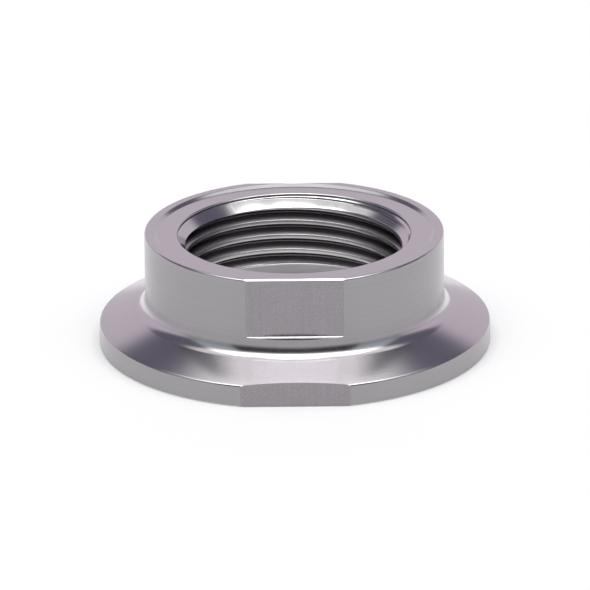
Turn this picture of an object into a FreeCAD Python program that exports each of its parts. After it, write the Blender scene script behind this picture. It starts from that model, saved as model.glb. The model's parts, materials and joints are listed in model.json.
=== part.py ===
import FreeCAD, Part
import os
import re
import Sketcher

# Sensor threaded adapter: a clamp ferrule turned from bar, with a threaded collar and milled spanner flats.
# Millimetres. The origin is the centre of the sealing face, and +Z runs along the bore towards the sensor.

SIZES = {
    # Clamp flange, its sloped back, and the groove that centres the gasket in its sealing face
    "flange_diameter": 50.5,
    "rim_height": 2.9,
    "rim_edge_break": 0.25,
    "cone_angle": 20,
    "gasket_groove_inset": 3.5,
    "gasket_groove_depth": 1.6,
    "gasket_groove_mouth": 4.0,
    "gasket_groove_floor": 1.6,
    # Thread M30 x 2, under a short counterbore and a 45 degree lead-in
    "thread_diameter": 30.0,
    "thread_pitch": 2.0,
    "thread_run_out": 1.85,
    "mouth_clearance": 0.05,
    "mouth_depth": 0.4,
    # Relief that the thread runs out into, and the narrower outlet through the sealing face
    "relief_clearance": 0.25,
    "relief_length": 3.0,
    "relief_corner": 0.9,
    "outlet_lip": 0.4,
    "outlet_length": 2.5,
    "outlet_edge_break": 0.3,
    # Collar round the thread
    "overall_height": 15.0,
    "collar_wall": 4.3,
    "collar_foot_radius": 1.9,
    "collar_edge_break": 0.2,
    # Seat for the sensor's shoulder, sunk into the top face inside a narrow raised ring
    "seat_ring_width": 1.2,
    "seat_step_width": 0.5,
    "seat_depth": 0.3,
    "seat_edge_break": 0.2,
    # Milled flats, in two opposite pairs
    "collar_flat_depth": 1.05,
    "flat_ledge_rise": 0.75,
    "flat_edge_break": 0.12,
    "rim_flat_depth": 1.0,
    # How far a cutting outline reaches past the surface that it cuts
    "overcut": 2.0,
}

doc = FreeCAD.newDocument("sensor_threaded_adapter")
sizes = doc.addObject("Spreadsheet::Sheet", "sizes")
for row, (name, value) in enumerate(SIZES.items(), start=1):
    sizes.set(f"A{row}", name)
    sizes.set(f"B{row}", str(value))
    sizes.setAlias(f"B{row}", name)
doc.recompute()

# Radii and heights that follow from the sizes, as expressions over the sheet
FLANGE_RADIUS = "(flange_diameter / 2)"
THREAD_ROOT_RADIUS = "(thread_diameter / 2)"
BORE_RADIUS = "(thread_diameter / 2 - 0.54127 * thread_pitch)"
MOUTH_RADIUS = "(thread_diameter / 2 + mouth_clearance)"
RELIEF_RADIUS = "(thread_diameter / 2 + relief_clearance)"
OUTLET_RADIUS = f"({BORE_RADIUS} - outlet_lip)"
COLLAR_RADIUS = "(thread_diameter / 2 + collar_wall)"
SEAT_RING_RADIUS = f"({COLLAR_RADIUS} - seat_ring_width)"
SEAT_RADIUS = f"({SEAT_RING_RADIUS} - seat_step_width)"

THREAD_END = "(outlet_length + relief_length)"
SEAT_HEIGHT = "(overall_height - seat_depth)"
MOUTH_FLOOR = f"({SEAT_HEIGHT} - mouth_depth)"
LEAD_IN_FOOT = f"({MOUTH_FLOOR} - ({MOUTH_RADIUS} - {BORE_RADIUS}))"

# The cone and the collar would meet at CONE_TOP; the foot's arc touches each of them one FOOT_REACH away
CONE_TOP = f"(rim_height + ({FLANGE_RADIUS} - {COLLAR_RADIUS}) * tan(cone_angle * 1 deg))"
FOOT_REACH = "(collar_foot_radius * tan(45 deg - cone_angle * 0.5 deg))"
FOOT_TOP = f"({CONE_TOP} + {FOOT_REACH})"
FLAT_LEDGE = f"({FOOT_TOP} + flat_ledge_rise)"


def value_of(expression):
    """What an expression over the sheet's names comes to, as a plain number."""
    result = sizes.evalExpression(expression)
    return float(getattr(result, "Value", result))


def bound(expression):
    """The same expression, as an object outside the sheet reads it."""
    return re.sub(r"\b(" + "|".join(SIZES) + r")\b", r"sizes.\1", expression)


def origin_plane(body, role):
    return next(plane for plane in body.Origin.OriginFeatures if plane.Role == role)


def new_sketch(body, name, role):
    sketch = body.newObject("Sketcher::SketchObject", name)
    sketch.AttachmentSupport = (origin_plane(body, role), [""])
    sketch.MapMode = "FlatFace"
    return sketch


def sketch_point(point):
    return FreeCAD.Vector(value_of(point[0]), value_of(point[1]), 0)


def arc_between(start, end, radius):
    """An arc that bulges to the left of the way from start to end."""
    chord = end - start
    left = FreeCAD.Vector(-chord.y, chord.x, 0).normalize()
    rise = (radius ** 2 - (chord.Length / 2) ** 2) ** 0.5
    crown = start + chord / 2 + left * (radius - rise)
    return Part.Arc(start, crown, end)


def draw_outline(sketch, points, arcs=None):
    """A closed outline through points given as pairs of expressions. Its sides are straight, apart from
    those that arcs lists: there, the side that leaves that point is an arc of the radius given."""
    arcs = arcs or {}
    corners = [sketch_point(point) for point in points]
    for index, corner in enumerate(corners):
        following = corners[(index + 1) % len(corners)]
        if index in arcs:
            sketch.addGeometry(arc_between(corner, following, value_of(arcs[index])), False)
        else:
            sketch.addGeometry(Part.LineSegment(corner, following), False)

    # An arc of a circle counts its ends anticlockwise, so each side's ends are told apart by where they lie
    ends = [1 if sketch.getPoint(side, 1).isEqual(corner, 1e-6) else 2 for side, corner in enumerate(corners)]
    for index, point in enumerate(points):
        previous = (index - 1) % len(points)
        constraint = Sketcher.Constraint("Coincident", previous, 3 - ends[previous], index, ends[index])
        sketch.addConstraint(constraint)
        for kind, expression in zip(("DistanceX", "DistanceY"), point):
            distance = Sketcher.Constraint(kind, -1, 1, index, ends[index], value_of(expression))
            number = sketch.addConstraint(distance)
            if value_of(expression) != 0:
                sketch.setExpression(f"Constraints[{number}]", bound(expression))
    for index, radius in arcs.items():
        number = sketch.addConstraint(Sketcher.Constraint("Radius", index, value_of(radius)))
        sketch.setExpression(f"Constraints[{number}]", bound(radius))


def turned(body, kind, name, outline):
    """A full turn of a sketch about the bore's axis: a Revolution adds and a Groove cuts."""
    feature = body.newObject(kind, name)
    feature.Profile = outline
    feature.ReferenceAxis = (outline, ["V_Axis"])
    feature.Angle = 360
    doc.recompute()
    return feature


def round_edges(shape, radius, height):
    """Names of the shape's circular edges that have the given radius and height."""
    found = []
    for index, edge in enumerate(shape.Edges, start=1):
        if not isinstance(edge.Curve, Part.Circle):
            continue
        if abs(edge.Curve.Radius - radius) < 1e-4 and abs(edge.Curve.Center.z - height) < 1e-4:
            found.append(f"Edge{index}")
    return found


def break_edges(body, name, circles, size):
    """A 45 degree chamfer along the circular edges at the given radii and heights."""
    base = body.Tip
    edges = []
    for radius, height in circles:
        edges += round_edges(base.Shape, value_of(radius), value_of(height))
    chamfer = body.newObject("PartDesign::Chamfer", name)
    chamfer.Base = (base, edges)
    chamfer.setExpression("Size", bound(size))
    doc.recompute()


def turn_blank(body):
    """Rim, cone, collar, sunk seat and bore in one outline, as the lathe leaves them."""
    outline = new_sketch(body, "turned_outline", "XZ_Plane")
    cone_end = (f"{COLLAR_RADIUS} + {FOOT_REACH} * cos(cone_angle * 1 deg)",
                f"{CONE_TOP} - {FOOT_REACH} * sin(cone_angle * 1 deg)")
    points = [
        (OUTLET_RADIUS, "0"),
        (f"{FLANGE_RADIUS} - rim_edge_break", "0"),
        (FLANGE_RADIUS, "rim_edge_break"),
        (FLANGE_RADIUS, "rim_height - rim_edge_break"),
        (f"{FLANGE_RADIUS} - rim_edge_break", "rim_height + rim_edge_break * tan(cone_angle * 1 deg)"),
        cone_end,
        (COLLAR_RADIUS, FOOT_TOP),
        (COLLAR_RADIUS, "overall_height"),
        (SEAT_RING_RADIUS, "overall_height"),
        (SEAT_RADIUS, SEAT_HEIGHT),
        (MOUTH_RADIUS, SEAT_HEIGHT),
        (MOUTH_RADIUS, MOUTH_FLOOR),
        (BORE_RADIUS, LEAD_IN_FOOT),
        (BORE_RADIUS, THREAD_END),
        (OUTLET_RADIUS, THREAD_END),
    ]
    draw_outline(outline, points, arcs={points.index(cone_end): "collar_foot_radius"})
    turned(body, "PartDesign::Revolution", "turned_blank", outline)


def cut_relief(body):
    """The groove that the thread runs out into, with sloped corners."""
    outline = new_sketch(body, "relief_outline", "XZ_Plane")
    inner = f"{OUTLET_RADIUS} - overcut"
    shoulder = f"{RELIEF_RADIUS} - relief_corner"
    draw_outline(outline, [
        (inner, "outlet_length"),
        (shoulder, "outlet_length"),
        (RELIEF_RADIUS, "outlet_length + relief_corner"),
        (RELIEF_RADIUS, f"{THREAD_END} - relief_corner"),
        (shoulder, THREAD_END),
        (inner, THREAD_END),
    ])
    turned(body, "PartDesign::Groove", "thread_relief", outline)


def cut_thread(body):
    """The right-handed 60 degree thread, from inside the relief up and out through the lead-in. The helix
    starts on the +X side. Its outline is as wide at the root as the standard form's, and reaches a little
    into the bore."""
    outline = new_sketch(body, "thread_outline", "XZ_Plane")
    start = f"({THREAD_END} - thread_run_out)"
    inner = f"({BORE_RADIUS} - 0.15 * thread_pitch)"
    root_half = "(thread_pitch / 16)"
    inner_half = f"({root_half} + ({THREAD_ROOT_RADIUS} - {inner}) * tan(30 deg))"
    draw_outline(outline, [
        (inner, f"{start} - {inner_half}"),
        (THREAD_ROOT_RADIUS, f"{start} - {root_half}"),
        (THREAD_ROOT_RADIUS, f"{start} + {root_half}"),
        (inner, f"{start} + {inner_half}"),
    ])
    thread = body.newObject("PartDesign::SubtractiveHelix", "thread")
    thread.Profile = outline
    thread.ReferenceAxis = (outline, ["V_Axis"])
    thread.Mode = "pitch-height-angle"
    thread.setExpression("Pitch", bound("thread_pitch"))
    thread.setExpression("Height", bound(f"{MOUTH_FLOOR} + {root_half} - {start}"))
    doc.recompute()


def cut_gasket_groove(body):
    """The groove in the sealing face, with sloped walls and a flat floor."""
    outline = new_sketch(body, "gasket_groove_outline", "XZ_Plane")
    middle = f"{FLANGE_RADIUS} - gasket_groove_inset"
    draw_outline(outline, [
        (f"{middle} - gasket_groove_mouth / 2", "0"),
        (f"{middle} - gasket_groove_mouth / 2", "0 - overcut"),
        (f"{middle} + gasket_groove_mouth / 2", "0 - overcut"),
        (f"{middle} + gasket_groove_mouth / 2", "0"),
        (f"{middle} + gasket_groove_floor / 2", "gasket_groove_depth"),
        (f"{middle} - gasket_groove_floor / 2", "gasket_groove_depth"),
    ])
    turned(body, "PartDesign::Groove", "gasket_groove", outline)


def break_turned_edges(body):
    """The fine chamfers round the collar's top, the seat and the outlet."""
    break_edges(body, "collar_edge", [(COLLAR_RADIUS, "overall_height")], "collar_edge_break")
    break_edges(body, "seat_edge", [(MOUTH_RADIUS, SEAT_HEIGHT)], "seat_edge_break")
    break_edges(body, "outlet_edge", [(OUTLET_RADIUS, "0")], "outlet_edge_break")


def mill(body, name, points):
    """A cut right across the piece, along X, to an outline on the YZ plane."""
    outline = new_sketch(body, name + "_outline", "YZ_Plane")
    draw_outline(outline, points)
    cut = body.newObject("PartDesign::Pocket", name)
    cut.Profile = outline
    cut.SideType = "Symmetric"
    cut.Type = "Length"
    cut.setExpression("Length", bound("flange_diameter + overcut"))
    doc.recompute()
    return cut


def mill_flats(body):
    """Spanner flats on the collar and matching flats on the rim, with their mirror images."""
    far = f"{FLANGE_RADIUS} + overcut"
    above = "overall_height + overcut"
    collar_flat = f"({COLLAR_RADIUS} - collar_flat_depth)"
    rim_flat = f"({FLANGE_RADIUS} - rim_flat_depth)"
    on_collar = mill(body, "collar_flat", [
        (collar_flat, FLAT_LEDGE),
        (far, FLAT_LEDGE),
        (far, above),
        (f"{collar_flat} - flat_edge_break", above),
        (f"{collar_flat} - flat_edge_break", "overall_height"),
        (collar_flat, "overall_height - flat_edge_break"),
    ])
    on_rim = mill(body, "rim_flat", [
        (rim_flat, "0 - overcut"),
        (far, "0 - overcut"),
        (far, above),
        (rim_flat, above),
    ])
    opposite = body.newObject("PartDesign::Mirrored", "opposite_flats")
    opposite.Originals = [on_collar, on_rim]
    opposite.MirrorPlane = (origin_plane(body, "XZ_Plane"), [""])
    body.Tip = opposite
    doc.recompute()


adapter = doc.addObject("PartDesign::Body", "adapter_body")
adapter.Label = "adapter_body"
turn_blank(adapter)
cut_relief(adapter)
cut_thread(adapter)
cut_gasket_groove(adapter)
break_turned_edges(adapter)
mill_flats(adapter)
doc.recompute()

for item in doc.Objects:
    if "Invalid" in item.State or "Error" in item.State:
        raise RuntimeError(f"{item.Name} did not build: {item.State}")
if adapter.Shape.isNull() or not adapter.Shape.isValid():
    raise RuntimeError("adapter_body has no valid shape")

os.makedirs("parts", exist_ok=True)
adapter.Shape.exportStep(f"parts/{adapter.Label}.step")
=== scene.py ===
import json
import math
import bpy
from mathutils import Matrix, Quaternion, Vector


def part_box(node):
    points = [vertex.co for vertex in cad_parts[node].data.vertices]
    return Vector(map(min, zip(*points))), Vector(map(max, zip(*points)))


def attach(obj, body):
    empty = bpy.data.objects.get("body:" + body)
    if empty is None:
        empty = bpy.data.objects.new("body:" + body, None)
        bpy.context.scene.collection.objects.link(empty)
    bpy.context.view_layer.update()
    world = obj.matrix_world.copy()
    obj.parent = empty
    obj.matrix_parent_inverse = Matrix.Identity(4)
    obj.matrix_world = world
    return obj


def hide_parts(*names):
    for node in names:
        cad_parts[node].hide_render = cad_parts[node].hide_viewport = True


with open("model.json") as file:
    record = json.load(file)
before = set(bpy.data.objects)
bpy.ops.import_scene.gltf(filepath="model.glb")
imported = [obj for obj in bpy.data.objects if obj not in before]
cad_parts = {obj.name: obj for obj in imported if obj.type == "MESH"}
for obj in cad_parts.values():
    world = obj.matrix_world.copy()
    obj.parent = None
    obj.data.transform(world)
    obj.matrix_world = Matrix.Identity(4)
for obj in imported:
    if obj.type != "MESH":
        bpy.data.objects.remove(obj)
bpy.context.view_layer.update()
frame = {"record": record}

# The adapter's blank, turned in one piece from stainless bar: a clamp flange with a sloped back, a collar
# with a sunk seat in its top, and the stepped bore. The frame gives its main sizes, and the rest are those
# of the lathe's cuts and the small roundings that its tools leave.
NODE = "adapter_body"
MM = 0.001
RINGS = 256

mounts = {mount["name"]: mount for mount in frame["record"]["mounts"]}
low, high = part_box(NODE)
flange_radius = high.x
overall_height = high.z
seat_height = mounts["sensor_seat"]["pos_m"][2]
crest_radius = mounts["sensor_thread"]["dims"]["r_mm"] * MM
thread_length = mounts["sensor_thread"]["dims"]["length_mm"] * MM
outlet_radius = mounts["outlet_bore"]["dims"]["r_mm"] * MM

rim_height = 2.9 * MM
cone_slope = math.tan(math.radians(20))
collar_radius = 19.3 * MM
cone_top = rim_height + (flange_radius - collar_radius) * cone_slope
seat_ring_radius = 18.1 * MM
seat_radius = 17.6 * MM
mouth_radius = 15.05 * MM
mouth_floor = seat_height - 0.4 * MM
lead_in_foot = mouth_floor - (mouth_radius - crest_radius)
thread_end = lead_in_foot - thread_length
drilled_radius = crest_radius - 0.9 * MM
relief_radius = 15.25 * MM
relief_floor = 2.5 * MM
gasket_groove = {"centre": 21.75 * MM, "mouth": 4.0 * MM, "floor": 1.6 * MM, "depth": 1.6 * MM}

collar_fillet = 1.33 * MM
rim_foot_round = 0.26 * MM
rim_edge_round = 0.22 * MM
top_edge_round = 0.25 * MM
seat_ring_round = 0.08 * MM
seat_corner_round = 0.1 * MM
mouth_edge_round = 0.2 * MM
relief_round = 1.0 * MM
outlet_step_round = 0.15 * MM
outlet_foot_round = 0.3 * MM
groove_edge_round = 0.2 * MM
groove_corner_round = 0.3 * MM
SAME_PLACE = 1e-6


def select_only(*objects):
    bpy.ops.object.select_all(action="DESELECT")
    for chosen in objects:
        chosen.select_set(True)
    bpy.context.view_layer.objects.active = objects[0]


def in_edit_mode(work):
    """Runs one operator, or a function of several, in edit mode on the active piece."""
    bpy.ops.object.mode_set(mode="EDIT")
    work()
    bpy.ops.object.mode_set(mode="OBJECT")


def pick(piece, kind, wanted):
    """Selects the piece's edges or faces that the wanted test holds for, and nothing else."""
    def deselect():
        bpy.ops.mesh.select_mode(type=kind)
        bpy.ops.mesh.select_all(action="DESELECT")
    select_only(piece)
    in_edit_mode(deselect)
    elements = {"EDGE": piece.data.edges, "FACE": piece.data.polygons}[kind]
    for element in elements:
        element.select = wanted(element)


def merge_and_face_outward():
    bpy.ops.mesh.select_all(action="SELECT")
    bpy.ops.mesh.remove_doubles(threshold=SAME_PLACE)
    bpy.ops.mesh.normals_make_consistent(inside=False)


def turn_rings(name, stations):
    """A closed turned solid: one ring of vertices is extruded from station to station, each a radius and
    a height, and the last ring is merged into the first."""
    radius, height = stations[0]
    bpy.ops.mesh.primitive_circle_add(vertices=RINGS, radius=radius, location=(0, 0, height))
    piece = bpy.context.object
    piece.name = name
    select_only(piece)
    bpy.ops.object.transform_apply(location=True, rotation=True, scale=True)

    def extrude_all():
        at_radius, at_height = stations[0]
        for next_radius, next_height in stations[1:] + stations[:1]:
            rise = (0, 0, next_height - at_height)
            growth = next_radius / at_radius
            bpy.ops.mesh.extrude_region_move(TRANSFORM_OT_translate={"value": rise})
            bpy.ops.transform.resize(value=(growth, growth, 1), center_override=(0, 0, 0))
            at_radius, at_height = next_radius, next_height
        merge_and_face_outward()
    in_edit_mode(extrude_all)
    return piece


def round_ring(piece, radius, height, reach, segments):
    """Rounds the piece's circular edge at that radius and height, reaching so far along both its sides."""
    vertices = piece.data.vertices

    def on_ring(edge):
        ends = [vertices[index].co for index in edge.vertices]
        return all(abs(math.hypot(end.x, end.y) - radius) < SAME_PLACE and abs(end.z - height) < SAME_PLACE
                   for end in ends)
    pick(piece, "EDGE", on_ring)
    in_edit_mode(lambda: bpy.ops.mesh.bevel(offset=reach, segments=segments, affect="EDGES"))


groove_mouth = [gasket_groove["centre"] + side * gasket_groove["mouth"] / 2 for side in (-1, 1)]
groove_floor = [gasket_groove["centre"] + side * gasket_groove["floor"] / 2 for side in (-1, 1)]
adapter = turn_rings("turned_adapter", [
    (outlet_radius, 0),
    (groove_mouth[0], 0),
    (groove_floor[0], gasket_groove["depth"]),
    (groove_floor[1], gasket_groove["depth"]),
    (groove_mouth[1], 0),
    (flange_radius, 0),
    (flange_radius, rim_height),
    (collar_radius, cone_top),
    (collar_radius, overall_height),
    (seat_ring_radius, overall_height),
    (seat_radius, seat_height),
    (mouth_radius, seat_height),
    (mouth_radius, mouth_floor),
    (drilled_radius, mouth_floor - (mouth_radius - drilled_radius)),
    (drilled_radius, thread_end),
    (relief_radius, thread_end),
    (relief_radius, relief_floor),
    (outlet_radius, relief_floor),
])
round_ring(adapter, collar_radius, cone_top, collar_fillet, 14)
round_ring(adapter, flange_radius, 0, rim_foot_round, 6)
round_ring(adapter, flange_radius, rim_height, rim_edge_round, 6)
round_ring(adapter, collar_radius, overall_height, top_edge_round, 6)
round_ring(adapter, seat_ring_radius, overall_height, seat_ring_round, 4)
round_ring(adapter, seat_radius, seat_height, seat_corner_round, 4)
round_ring(adapter, mouth_radius, seat_height, mouth_edge_round, 6)
round_ring(adapter, relief_radius, thread_end, relief_round, 8)
round_ring(adapter, relief_radius, relief_floor, relief_round, 8)
round_ring(adapter, outlet_radius, relief_floor, outlet_step_round, 3)
round_ring(adapter, outlet_radius, 0, outlet_foot_round, 4)
for side in (0, 1):
    round_ring(adapter, groove_mouth[side], 0, groove_edge_round, 4)
    round_ring(adapter, groove_floor[side], gasket_groove["depth"], groove_corner_round, 4)


# The thread that takes the sensor, M30 x 2 and right-handed, cut with a single-point tool from inside the
# relief up and out through the lead-in. Here a solid screw of the thread's inside form, turned from the
# outline of one pitch, is taken out of the blank.
pitch = 2.0 * MM
root_radius = 15.0 * MM
crest_width = pitch / 4
crest_rounding = 0.07 * MM
flank_rise = (root_radius - crest_radius) * math.tan(math.radians(30))
crest_foot = 0.4 * MM
screw_low = thread_end - 1.2 * MM
screw_high = mouth_floor + 0.2 * MM
turn_steps = 192


def cut_with(piece, cutter):
    """Takes the cutter out of the piece and deletes it."""
    select_only(piece)
    boolean = piece.modifiers.new("cut", "BOOLEAN")
    boolean.operation = "DIFFERENCE"
    boolean.solver = "EXACT"
    boolean.object = cutter
    bpy.ops.object.modifier_apply(modifier=boolean.name)
    bpy.data.objects.remove(cutter)


def rounded(previous, corner, following, reach):
    """Four points that take a curve past the corner, from reach before it to reach after it."""
    start = corner + (previous - corner).normalized() * reach
    end = corner + (following - corner).normalized() * reach
    return [start.lerp(corner, step / 3).lerp(corner.lerp(end, step / 3), step / 3) for step in range(4)]


def pitch_outline():
    """The screw's outline over one pitch on the +X side, from the foot of a crest to that of the next."""
    raised = Vector((0, 0, pitch))
    corners = [
        Vector((crest_radius, 0, crest_foot)),
        Vector((crest_radius, 0, crest_foot + crest_width)),
        Vector((root_radius, 0, crest_foot + crest_width + flank_rise)),
        Vector((root_radius, 0, crest_foot + pitch - flank_rise)),
    ]
    neighbours = [corners[-1] - raised] + corners + [corners[0] + raised]
    points = []
    for previous, corner, following in zip(neighbours, corners, neighbours[2:]):
        points += rounded(previous, corner, following, crest_rounding)
    return points + [points[0] + raised]


def turn_screw():
    """The outline turned and raised at once, for as many turns as the thread needs, and cut off flat."""
    points = pitch_outline()
    outline = bpy.data.meshes.new("thread_screw")
    outline.from_pydata(points, [(index, index + 1) for index in range(len(points) - 1)], [])
    screw = bpy.data.objects.new("thread_screw", outline)
    bpy.context.scene.collection.objects.link(screw)
    turning = screw.modifiers.new("turning", "SCREW")
    turning.axis = "Z"
    turning.angle = math.tau
    turning.screw_offset = pitch
    turning.iterations = math.ceil(screw_high / pitch) + 1
    turning.steps = turning.render_steps = turn_steps
    select_only(screw)
    bpy.ops.object.modifier_apply(modifier=turning.name)

    def close_ends():
        bpy.ops.mesh.select_all(action="SELECT")
        bpy.ops.mesh.remove_doubles(threshold=SAME_PLACE)
        for height, outward in ((screw_high, 1), (screw_low, -1)):
            bpy.ops.mesh.select_all(action="SELECT")
            bpy.ops.mesh.bisect(plane_co=(0, 0, height), plane_no=(0, 0, outward),
                                use_fill=True, clear_outer=True)
        merge_and_face_outward()
    in_edit_mode(close_ends)
    return screw


cut_with(adapter, turn_screw())


# Two spanner flats milled across the collar, each with a ledge below it, and two matching flats milled
# across the flange's rim. The end mill leaves a small round in the corner above each ledge, and a file has
# taken the burr off each collar flat's top edge.
collar_flat = mounts["back_spanner_flat"]["pos_m"][1]
rim_flat = high.y
flat_ledge = 7.146 * MM
corner_round = 0.22 * MM
filed_edge = 0.17 * MM
smooth_below = math.radians(28)
FACES_SIDE = 0.99999


def milled_block(side, flat, floor):
    """What one pass of the cutter takes away: everything beyond the flat and above the floor, with the
    cutter's rounded corner between the two."""
    depth = 6 * MM
    top = overall_height + 2 * MM
    centre = (0, side * (flat + depth / 2), (floor + top) / 2)
    bpy.ops.mesh.primitive_cube_add(size=1, location=centre, scale=(2.4 * flange_radius, depth, top - floor))
    block = bpy.context.object
    bpy.ops.object.transform_apply(location=True, rotation=True, scale=True)
    vertices = block.data.vertices

    def at_corner(edge):
        ends = [vertices[index].co for index in edge.vertices]
        return all(abs(end.y - side * flat) < SAME_PLACE and abs(end.z - floor) < SAME_PLACE for end in ends)
    pick(block, "EDGE", at_corner)
    in_edit_mode(lambda: bpy.ops.mesh.bevel(offset=corner_round, segments=6, affect="EDGES"))
    return block


def filed_corner(side):
    """A square bar set on edge along the flat's top edge, for a 45 degree chamfer."""
    bpy.ops.mesh.primitive_cylinder_add(vertices=4, radius=filed_edge, depth=2 * flange_radius,
                                        location=(0, side * collar_flat, overall_height),
                                        rotation=(0, math.pi / 2, 0))
    return bpy.context.object


def on_flat(face):
    return abs(face.normal.y) > FACES_SIDE


for side in (-1, 1):
    cut_with(adapter, milled_block(side, collar_flat, flat_ledge))
    cut_with(adapter, milled_block(side, rim_flat, -2 * MM))
    cut_with(adapter, filed_corner(side))

select_only(adapter)
bpy.ops.object.shade_smooth_by_angle(angle=smooth_below)
pick(adapter, "FACE", on_flat)
in_edit_mode(bpy.ops.mesh.faces_shade_flat)
weights = adapter.modifiers.new("large_faces_stay_flat", "WEIGHTED_NORMAL")
weights.keep_sharp = True
bpy.ops.object.modifier_apply(modifier=weights.name)


# Stainless steel as the machines leave it: fine rings from the lathe's tool, a fine grain from the end
# mill on the flats, and a thread whose roots are painted darker than its crests as painted shade, with no
# polish anywhere.
def add(tree, kind, inputs=None, **settings):
    """Adds a shader node. The inputs are values, or outputs of other nodes, which are linked."""
    node = tree.nodes.new("ShaderNode" + kind)
    for name, value in settings.items():
        setattr(node, name, value)
    for name, value in (inputs or {}).items():
        if isinstance(value, bpy.types.NodeSocket):
            tree.links.new(value, node.inputs[name])
        else:
            node.inputs[name].default_value = value
    return node


def calculate(tree, operation, *values):
    node = add(tree, "Math", dict(enumerate(values)), operation=operation)
    return node.outputs[0]


def spread(tree, value, bottom, top, shape="LINEAR", ends=(0, 1)):
    """Maps the value from bottom to top onto the two ends, and holds it at them outside."""
    ranges = {"Value": value, "From Min": bottom, "From Max": top, "To Min": ends[0], "To Max": ends[1]}
    return add(tree, "MapRange", ranges, interpolation_type=shape).outputs["Result"]


def blend(tree, factor, first, second):
    node = add(tree, "Mix", data_type="RGBA")
    for name, value in (("Factor_Float", factor), ("A_Color", first), ("B_Color", second)):
        socket = next(item for item in node.inputs if item.identifier == name)
        if isinstance(value, bpy.types.NodeSocket):
            tree.links.new(value, socket)
        else:
            socket.default_value = value if name == "Factor_Float" else (*value, 1)
    return next(item for item in node.outputs if item.identifier == "Result_Color")


def new_steel(name):
    """A bare metal on the adapter, with its tree, its shader, and its place as x, y, z and radius."""
    steel = bpy.data.materials.new(name)
    steel.use_nodes = True
    adapter.data.materials.append(steel)
    tree = steel.node_tree
    shader = tree.nodes["Principled BSDF"]
    shader.inputs["Metallic"].default_value = 1
    place = add(tree, "TexCoord").outputs["Object"]
    split = add(tree, "SeparateXYZ", {"Vector": place})
    across = add(tree, "VectorMath", {0: place, 1: (1, 1, 0)}, operation="MULTIPLY").outputs[0]
    radius = add(tree, "VectorMath", {0: across}, operation="LENGTH").outputs["Value"]
    return tree, shader, place, split.outputs["Z"], radius


def tool_rings(tree, place, height, radius, ring_width, detail):
    """Noise from 0 to 1 that changes within each ring_width along the outline, and slowly round Z."""
    rise = calculate(tree, "MULTIPLY", height, 0.8 / ring_width)
    along = calculate(tree, "MULTIPLY_ADD", radius, -1.3 / ring_width, rise)
    slow = add(tree, "VectorMath", {0: place, "Scale": 14}, operation="SCALE").outputs[0]
    noise = {"Vector": slow, "W": along, "Scale": 1, "Detail": detail, "Roughness": 0.6}
    return add(tree, "TexNoise", noise, noise_dimensions="4D").outputs["Fac"]


def grain(tree, place, size, detail):
    noise = {"Vector": place, "Scale": 1 / size, "Detail": detail, "Roughness": 0.6}
    return add(tree, "TexNoise", noise).outputs["Fac"]


def bumped(tree, shader, height, depth):
    bump = add(tree, "Bump", {"Height": height, "Strength": 1, "Distance": depth})
    tree.links.new(bump.outputs["Normal"], shader.inputs["Normal"])


# One steel: its own colour on the faces and slopes, and darker copies of it as painted shade on the upright
# sides and darker still on the milled flats; the upright sides also reflect more dully from more roughness.
PALE_STEEL = (0.66, 0.64, 0.655)
DULL_STEEL = (0.6, 0.58, 0.59)
SHADED_SIDE_PALE = (0.385, 0.37, 0.385)
SHADED_SIDE_DULL = (0.34, 0.325, 0.34)
MILLED_SHADE_DULL = (0.28, 0.262, 0.28)
MILLED_SHADE_PALE = (0.335, 0.318, 0.335)
THREAD_ROOT_SHADE = (0.17, 0.16, 0.17)
lathe_feed = 0.22 * MM
thread_feed = 0.16 * MM
mill_speckle = 0.2 * MM
mill_feed = 0.5 * MM
ring_depth = 0.0025 * MM
thread_ring_depth = 0.0015 * MM
mill_depth = 0.0012 * MM

tree, shader, place, height, radius = new_steel("turned_steel")
rings = tool_rings(tree, place, height, radius, lathe_feed, 3)
normal = add(tree, "SeparateXYZ", {0: add(tree, "NewGeometry").outputs["True Normal"]}).outputs["Z"]
upright = spread(tree, calculate(tree, "ABSOLUTE", normal), 0.55, 0.15, "SMOOTHSTEP")
faced = blend(tree, rings, PALE_STEEL, DULL_STEEL)
# Painted shade: the upright sides get a darker copy of the steel's colour, mixed by the same tool rings.
shaded_sides = blend(tree, rings, SHADED_SIDE_PALE, SHADED_SIDE_DULL)
tree.links.new(blend(tree, upright, faced, shaded_sides), shader.inputs["Base Color"])
tree.links.new(calculate(tree, "MULTIPLY_ADD", rings, 0.04, spread(tree, upright, 0, 1, ends=(0.15, 0.22))),
               shader.inputs["Roughness"])
tree.links.new(spread(tree, upright, 0, 1, ends=(0.5, 0.85)), shader.inputs["Anisotropic"])
round_axis = add(tree, "Tangent", direction_type="RADIAL", axis="Z").outputs["Tangent"]
tree.links.new(round_axis, shader.inputs["Tangent"])
shader.inputs["Anisotropic Rotation"].default_value = 0.25
bumped(tree, shader, rings, ring_depth)

tree, shader, place, height, radius = new_steel("milled_steel")
speckle = grain(tree, place, mill_speckle, 2)
feed = grain(tree, add(tree, "VectorMath", {0: place, 1: (1, 1, 0.04)}, operation="MULTIPLY").outputs[0],
             mill_feed, 2)
marks = calculate(tree, "MULTIPLY_ADD", feed, 0.4, speckle)
# Painted shade: the flats' colour is much darker than the turned faces' own, with the mill's grain mixing two
# tones of it.
tree.links.new(blend(tree, spread(tree, marks, 0.4, 1.0), MILLED_SHADE_DULL, MILLED_SHADE_PALE),
               shader.inputs["Base Color"])
tree.links.new(spread(tree, speckle, 0.3, 0.7, ends=(0.24, 0.3)), shader.inputs["Roughness"])
bumped(tree, shader, marks, mill_depth)

tree, shader, place, height, radius = new_steel("threaded_steel")
rings = tool_rings(tree, place, height, radius, thread_feed, 2)
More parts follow.
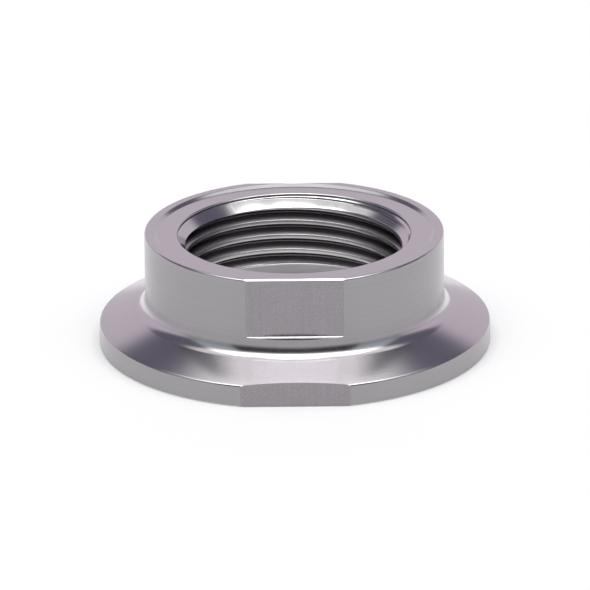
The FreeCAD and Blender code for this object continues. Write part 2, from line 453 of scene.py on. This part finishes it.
# Painted shade: the colour darkens from the thread's crests towards its roots.
root_shade = spread(tree, radius, crest_radius + 0.05 * MM, crest_radius + 0.7 * MM, "SMOOTHSTEP")
tree.links.new(blend(tree, root_shade, DULL_STEEL, THREAD_ROOT_SHADE), shader.inputs["Base Color"])
tree.links.new(calculate(tree, "MULTIPLY_ADD", rings, 0.06, 0.22), shader.inputs["Roughness"])
bumped(tree, shader, rings, thread_ring_depth)


def give_material(wanted, slot_index):
    """Gives the faces that the wanted test holds for the material in that slot."""
    pick(adapter, "FACE", wanted)
    adapter.active_material_index = slot_index
    in_edit_mode(bpy.ops.object.material_slot_assign)


def on_thread(face):
    centre = face.center
    radius = math.hypot(centre.x, centre.y)
    in_depth = crest_radius - 0.1 * MM < radius < root_radius + SAME_PLACE
    return in_depth and thread_end < centre.z < lead_in_foot - SAME_PLACE


give_material(on_flat, 1)
give_material(on_thread, 2)

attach(adapter, "root")
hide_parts(NODE)


# The studio: a plain white table under one wide softbox, a brighter lamp at the front and a small one at
# the back, grey panels at the sides, a pale low wall behind, and dark where the camera stands.
TABLE_WHITE = (0.76, 0.76, 0.76, 1)
TABLE_LIFT = 0.2
CAMERA_SIDE = (0.025, 0.02, 0.025)
DARK_GAP = (0.136, 0.128, 0.176)
SIDE_PANEL = (0.4, 0.45, 0.48)
LOW_WALL = (0.66, 0.595, 0.67)
SOFTBOX = (0.92, 0.92, 0.92)
FRONT_LAMP = (4.1, 4.1, 4.1)
BACK_LAMP = (1.5, 1.5, 1.5)

bpy.ops.mesh.primitive_plane_add(size=6, location=(0, 0, 0))
table = bpy.context.object
table.name = "table"
table_paint = bpy.data.materials.new("white_table")
table_paint.use_nodes = True
table.data.materials.append(table_paint)
tree = table_paint.node_tree
tree.nodes.clear()
paint = add(tree, "BsdfDiffuse", {"Color": TABLE_WHITE}).outputs[0]
path = add(tree, "LightPath")
mirrored = calculate(tree, "MAXIMUM", path.outputs["Is Glossy Ray"], path.outputs["Is Transmission Ray"])
seen = calculate(tree, "MAXIMUM", path.outputs["Is Camera Ray"], mirrored)
lift = calculate(tree, "MULTIPLY", seen, TABLE_LIFT)
glow = add(tree, "Emission", {"Strength": lift}).outputs[0]
both = add(tree, "AddShader", {0: paint, 1: glow}).outputs[0]
add(tree, "OutputMaterial", {"Surface": both})

world = bpy.data.worlds.new("studio")
bpy.context.scene.world = world
world.use_nodes = True
tree = world.node_tree
tree.nodes.clear()
direction = add(tree, "SeparateXYZ", {0: add(tree, "TexCoord").outputs["Generated"]})
elevation = calculate(tree, "DEGREES", calculate(tree, "ARCSINE", direction.outputs["Z"]))
sideways = calculate(tree, "ABSOLUTE", direction.outputs["X"])
forward = calculate(tree, "MULTIPLY", direction.outputs["Y"], -1)
from_front = calculate(tree, "DEGREES", calculate(tree, "ARCTAN2", sideways, forward))


def soft_edge(value, out, into):
    """A soft edge between two angles in degrees: 0 at the first angle and 1 at the second."""
    return spread(tree, value, out, into, "SMOOTHSTEP")


def overlap(first, *others):
    """The part of the sky that all the given soft edges hold."""
    for other in others:
        first = calculate(tree, "MULTIPLY", first, other)
    return first


beside = soft_edge(from_front, 46.5, 49.5)
behind = soft_edge(from_front, 78, 92)
side_panel = calculate(tree, "SUBTRACT", beside, behind)
wall_top = calculate(tree, "MULTIPLY", from_front, 0.2)
low_wall = overlap(soft_edge(calculate(tree, "SUBTRACT", wall_top, elevation), -4, 4), behind)
softbox_foot = calculate(tree, "MULTIPLY_ADD", behind, 9, 38)
softbox = soft_edge(calculate(tree, "SUBTRACT", elevation, softbox_foot), 0, 8)
lamp_body = overlap(soft_edge(from_front, 100, 66), soft_edge(elevation, 72, 62), soft_edge(elevation, 46, 54))
lamp_top = overlap(soft_edge(from_front, 52, 40), soft_edge(elevation, 84, 76), soft_edge(elevation, 58, 66))
front_lamp = calculate(tree, "MAXIMUM", lamp_body, lamp_top)
back_lamp = overlap(soft_edge(from_front, 150, 160), soft_edge(elevation, 76, 68), soft_edge(elevation, 52, 58))

colour = blend(tree, behind, CAMERA_SIDE, DARK_GAP)
colour = blend(tree, side_panel, colour, SIDE_PANEL)
colour = blend(tree, low_wall, colour, LOW_WALL)
overhead = blend(tree, back_lamp, blend(tree, front_lamp, SOFTBOX, FRONT_LAMP), BACK_LAMP)
colour = blend(tree, softbox, colour, overhead)
sky = add(tree, "Background", {"Color": colour, "Strength": 1.0}).outputs[0]
add(tree, "OutputWorld", {"Surface": sky})


# The camera: level with the photo's, above the front flats, with a long lens.
aim = Vector((0.047 * MM, 0, 6.13 * MM))
height_angle = math.radians(20.34)
distance = 1.161
field = 76.2 * MM
back = Vector((0, -math.cos(height_angle), math.sin(height_angle)))
bpy.ops.object.camera_add(location=aim + back * distance)
camera = bpy.context.object
camera.rotation_mode = "QUATERNION"
camera.rotation_quaternion = (-back).to_track_quat("-Z", "Y") @ Quaternion((0, 0, 1), math.radians(-0.53))
camera.data.lens = camera.data.sensor_width * distance / field
camera.data.clip_start = 0.05
camera.data.clip_end = 20
bpy.context.scene.camera = camera
bpy.context.scene.view_settings.view_transform = "Standard"
